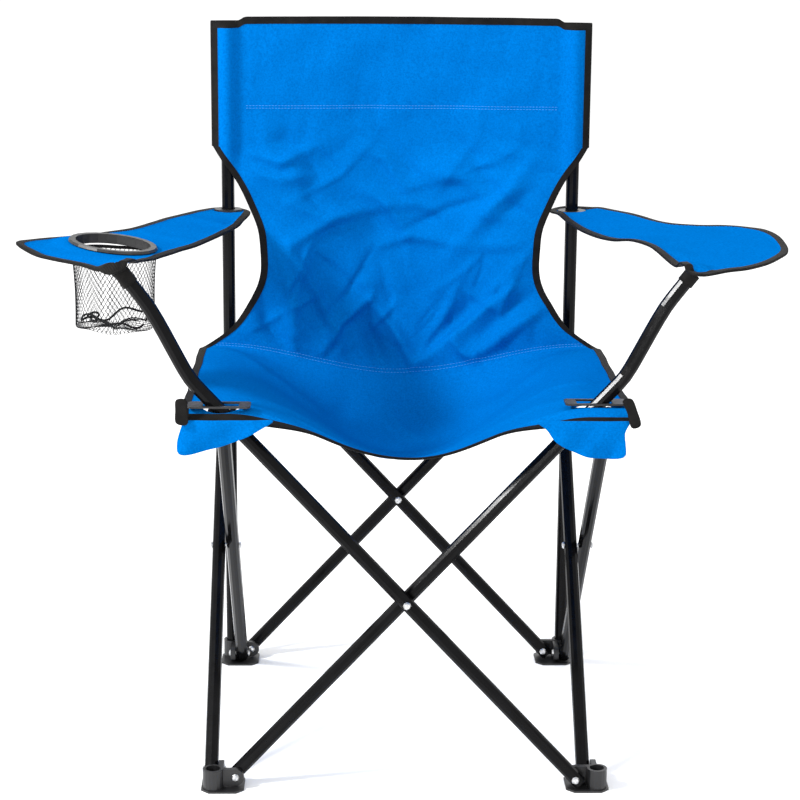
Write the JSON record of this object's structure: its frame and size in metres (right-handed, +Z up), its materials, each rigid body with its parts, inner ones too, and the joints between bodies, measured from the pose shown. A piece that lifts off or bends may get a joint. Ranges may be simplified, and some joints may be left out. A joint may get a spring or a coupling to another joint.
{
  "type": "folding camp chair",
  "caption": "Folding camp chair with a black steel tube frame, a slung blue cloth seat and back, two cloth armrests and a netted cup holder in the left arm",
  "frame": {"origin": "on the floor under the middle of the bounding box", "axes": "+X to the right seen from the front, +Y to the back of the chair, +Z up; the sitter faces -Y"},
  "size_m": [0.8632, 0.48, 0.836],
  "materials": {
    "frame_steel": "gloss black powder coat on round steel tube",
    "joint_plastic": "moulded black plastic, slightly satin",
    "rivet_zinc": "bright zinc plated rivets",
    "blue_cloth": "bright blue woven polyester, fine plain weave, bound in black tape",
    "black_tape": "black ribbed binding tape",
    "black_net": "fine black diamond net"
  },
  "bodies": {
    "rear_left_corner": {"foot_rear_left": "joint_plastic", "left_back_post": "frame_steel", "left_post_cap": "joint_plastic", "left_sleeve": "blue_cloth", "left_arm_eyelet": "joint_plastic", "back_upper": "blue_cloth", "foot_rear_left_rivet_a": "rivet_zinc", "foot_rear_left_rivet_b": "rivet_zinc"},
    "rear_leg_outer": {"rear_leg_tube_left": "frame_steel", "rear_cross_rivet": "rivet_zinc"},
    "rear_leg_inner": {"rear_leg_tube_right": "frame_steel"},
    "rear_right_corner": {"foot_rear_right": "joint_plastic", "right_back_post": "frame_steel", "right_post_cap": "joint_plastic", "right_sleeve": "blue_cloth", "right_arm_eyelet": "joint_plastic", "foot_rear_right_rivet_a": "rivet_zinc", "foot_rear_right_rivet_b": "rivet_zinc"},
    "right_slider": {"slider_rear_right": "joint_plastic", "top_rear_right_rivet_a": "rivet_zinc", "top_rear_right_rivet_b": "rivet_zinc"},
    "left_slider": {"slider_rear_left": "joint_plastic", "top_rear_left_rivet_a": "rivet_zinc", "top_rear_left_rivet_b": "rivet_zinc"},
    "left_leg_inner": {"left_side_tube_rear": "frame_steel", "left_cross_rivet": "rivet_zinc"},
    "left_leg_outer": {"left_side_tube_front": "frame_steel"},
    "front_left_foot": {"foot_front_left": "joint_plastic", "foot_front_left_rivet_a": "rivet_zinc", "foot_front_left_rivet_b": "rivet_zinc"},
    "left_seat_corner": {"seat_joint_front_left": "joint_plastic", "top_front_left_rivet_a": "rivet_zinc", "top_front_left_rivet_b": "rivet_zinc", "left_corner_pouch": "blue_cloth", "left_corner_plate": "joint_plastic", "seat_hem": "blue_cloth"},
    "right_leg_outer": {"right_side_tube_rear": "frame_steel", "right_cross_rivet": "rivet_zinc"},
    "right_leg_inner": {"right_side_tube_front": "frame_steel"},
    "front_right_foot": {"foot_front_right": "joint_plastic", "foot_front_right_rivet_a": "rivet_zinc", "foot_front_right_rivet_b": "rivet_zinc"},
    "right_seat_corner": {"seat_joint_front_right": "joint_plastic", "top_front_right_rivet_a": "rivet_zinc", "top_front_right_rivet_b": "rivet_zinc", "right_corner_pouch": "blue_cloth", "right_corner_plate": "joint_plastic"},
    "front_leg_outer": {"front_leg_tube_right": "frame_steel", "front_cross_rivet": "rivet_zinc", "left_arm_pocket": "black_tape"},
    "front_leg_inner": {"front_leg_tube_left": "frame_steel", "right_arm_pocket": "black_tape"},
    "seat_front_half": {"seat_front": "blue_cloth"},
    "seat_rear_half": {"seat_rear": "blue_cloth"},
    "back_middle_panel": {"back_middle": "blue_cloth"},
    "back_lower_panel": {"back_lower": "blue_cloth"},
    "left_arm": {"left_armrest": "blue_cloth"},
    "cup_holder": {"cup_ring": "joint_plastic", "cup_net": "black_net"},
    "right_arm": {"right_armrest": "blue_cloth"}
  },
  "joints": [
    {"name": "fold", "type": "hinge", "parent": "rear_left_corner", "child": "rear_leg_outer", "pos_m": [-0.192, 0.2203, 0.014], "axis": [0, -1, 0], "range_deg": [0, 33], "deforming": ["seat_hem", "seat_front", "seat_rear", "back_lower", "back_middle", "back_upper", "left_armrest", "right_armrest", "cup_net"]},
    {"name": "rear_cross", "type": "hinge", "parent": "rear_leg_outer", "child": "rear_leg_inner", "pos_m": [0, 0.212, 0.221], "axis": [0, 1, 0], "range_deg": [0, 66.05]},
    {"name": "rear_right_foot_pivot", "type": "hinge", "parent": "rear_leg_inner", "child": "rear_right_corner", "pos_m": [0.192, 0.2037, 0.014], "axis": [0, -1, 0], "range_deg": [0, 33.05]},
    {"name": "right_slider_rear_pivot", "type": "hinge", "parent": "rear_leg_outer", "child": "right_slider", "pos_m": [0.192, 0.2203, 0.428], "axis": [0, 1, 0], "range_deg": [0, 33.05]},
    {"name": "left_slider_rear_pivot", "type": "hinge", "parent": "rear_leg_inner", "child": "left_slider", "pos_m": [-0.192, 0.2037, 0.428], "axis": [0, -1, 0], "range_deg": [0, 33.05]},
    {"name": "rear_left_foot_side_pivot", "type": "hinge", "parent": "rear_left_corner", "child": "left_leg_inner", "pos_m": [-0.2037, 0.192, 0.014], "axis": [-1, 0, 0], "range_deg": [0, 33.05]},
    {"name": "left_cross", "type": "hinge", "parent": "left_leg_inner", "child": "left_leg_outer", "pos_m": [-0.212, 0, 0.221], "axis": [1, 0, 0], "range_deg": [0, 66.05]},
    {"name": "front_left_foot_pivot", "type": "hinge", "parent": "left_leg_outer", "child": "front_left_foot", "pos_m": [-0.2203, -0.192, 0.014], "axis": [-1, 0, 0], "range_deg": [0, 33.05]},
    {"name": "left_seat_corner_pivot", "type": "hinge", "parent": "left_leg_inner", "child": "left_seat_corner", "pos_m": [-0.2037, -0.192, 0.428], "axis": [1, 0, 0], "range_deg": [0, 33.05]},
    {"name": "rear_right_foot_side_pivot", "type": "hinge", "parent": "rear_right_corner", "child": "right_leg_outer", "pos_m": [0.2203, 0.192, 0.014], "axis": [-1, 0, 0], "range_deg": [0, 33.05]},
    {"name": "right_cross", "type": "hinge", "parent": "right_leg_outer", "child": "right_leg_inner", "pos_m": [0.212, 0, 0.221], "axis": [1, 0, 0], "range_deg": [0, 66.05]},
    {"name": "front_right_foot_pivot", "type": "hinge", "parent": "right_leg_inner", "child": "front_right_foot", "pos_m": [0.2037, -0.192, 0.014], "axis": [-1, 0, 0], "range_deg": [0, 33.05]},
    {"name": "right_seat_corner_pivot", "type": "hinge", "parent": "right_leg_outer", "child": "right_seat_corner", "pos_m": [0.2203, -0.192, 0.428], "axis": [1, 0, 0], "range_deg": [0, 33.05]},
    {"name": "left_arm_tube_pivot", "type": "hinge", "parent": "left_seat_corner", "child": "front_leg_outer", "pos_m": [-0.192, -0.2203, 0.428], "axis": [0, 1, 0], "range_deg": [0, 33.05]},
    {"name": "right_arm_tube_pivot", "type": "hinge", "parent": "right_seat_corner", "child": "front_leg_inner", "pos_m": [0.192, -0.2037, 0.428], "axis": [0, -1, 0], "range_deg": [0, 33.05]},
    {"name": "seat_front_fold", "type": "hinge", "parent": "left_seat_corner", "child": "seat_front_half", "pos_m": [0, -0.19, 0.441], "axis": [-1, 0, 0], "range_deg": [0, 69.28]},
    {"name": "seat_rear_fold", "type": "hinge", "parent": "left_slider", "child": "seat_rear_half", "pos_m": [0, 0.172, 0.431], "axis": [1, 0, 0], "range_deg": [0, 84.52]},
    {"name": "back_middle_fold", "type": "hinge", "parent": "rear_left_corner", "child": "back_middle_panel", "pos_m": [0, 0.205, 0.676], "axis": [-1, 0, 0], "range_deg": [0, 88.85]},
    {"name": "back_lower_fold", "type": "hinge", "parent": "back_middle_panel", "child": "back_lower_panel", "pos_m": [0, 0.202, 0.56], "axis": [1, 0, 0], "range_deg": [0, 140.77]},
    {"name": "left_arm_fold", "type": "hinge", "parent": "front_leg_outer", "child": "left_arm", "pos_m": [-0.306, -0.2203, 0.59], "axis": [-0.9792, -0.0212, -0.2018], "range_deg": [0, 46.79]},
    {"name": "right_arm_fold", "type": "hinge", "parent": "front_leg_inner", "child": "right_arm", "pos_m": [0.306, -0.2037, 0.59], "axis": [-0.9788, 0.0204, 0.204], "range_deg": [0, 50.03]},
    {"name": "cup_holder_shift", "type": "slide", "parent": "left_arm", "child": "cup_holder", "axis": [-0.1994, -0.9799, -0.009], "range_m": [0, 0.06198]}
  ],
  "couplings": [
    {"joint": "rear_cross", "follows": "fold", "ratio": 2},
    {"joint": "rear_right_foot_pivot", "follows": "fold", "ratio": 1},
    {"joint": "right_slider_rear_pivot", "follows": "fold", "ratio": 1},
    {"joint": "left_slider_rear_pivot", "follows": "fold", "ratio": 1},
    {"joint": "rear_left_foot_side_pivot", "follows": "fold", "ratio": 1},
    {"joint": "left_cross", "follows": "fold", "ratio": 2},
    {"joint": "front_left_foot_pivot", "follows": "fold", "ratio": 1},
    {"joint": "left_seat_corner_pivot", "follows": "fold", "ratio": 1},
    {"joint": "rear_right_foot_side_pivot", "follows": "fold", "ratio": 1},
    {"joint": "right_cross", "follows": "fold", "ratio": 2},
    {"joint": "front_right_foot_pivot", "follows": "fold", "ratio": 1},
    {"joint": "right_seat_corner_pivot", "follows": "fold", "ratio": 1},
    {"joint": "left_arm_tube_pivot", "follows": "fold", "ratio": 1},
    {"joint": "right_arm_tube_pivot", "follows": "fold", "ratio": 1},
    {"joint": "seat_front_fold", "follows": "fold", "ratio": 2.0979},
    {"joint": "seat_rear_fold", "follows": "fold", "ratio": 2.5597},
    {"joint": "back_middle_fold", "follows": "fold", "ratio": 2.691},
    {"joint": "back_lower_fold", "follows": "fold", "ratio": 4.2643},
    {"joint": "left_arm_fold", "follows": "fold", "ratio": 1.4164},
    {"joint": "right_arm_fold", "follows": "fold", "ratio": 1.5144},
    {"joint": "cup_holder_shift", "follows": "fold", "m_per_rad": 0.10727}
  ]
}
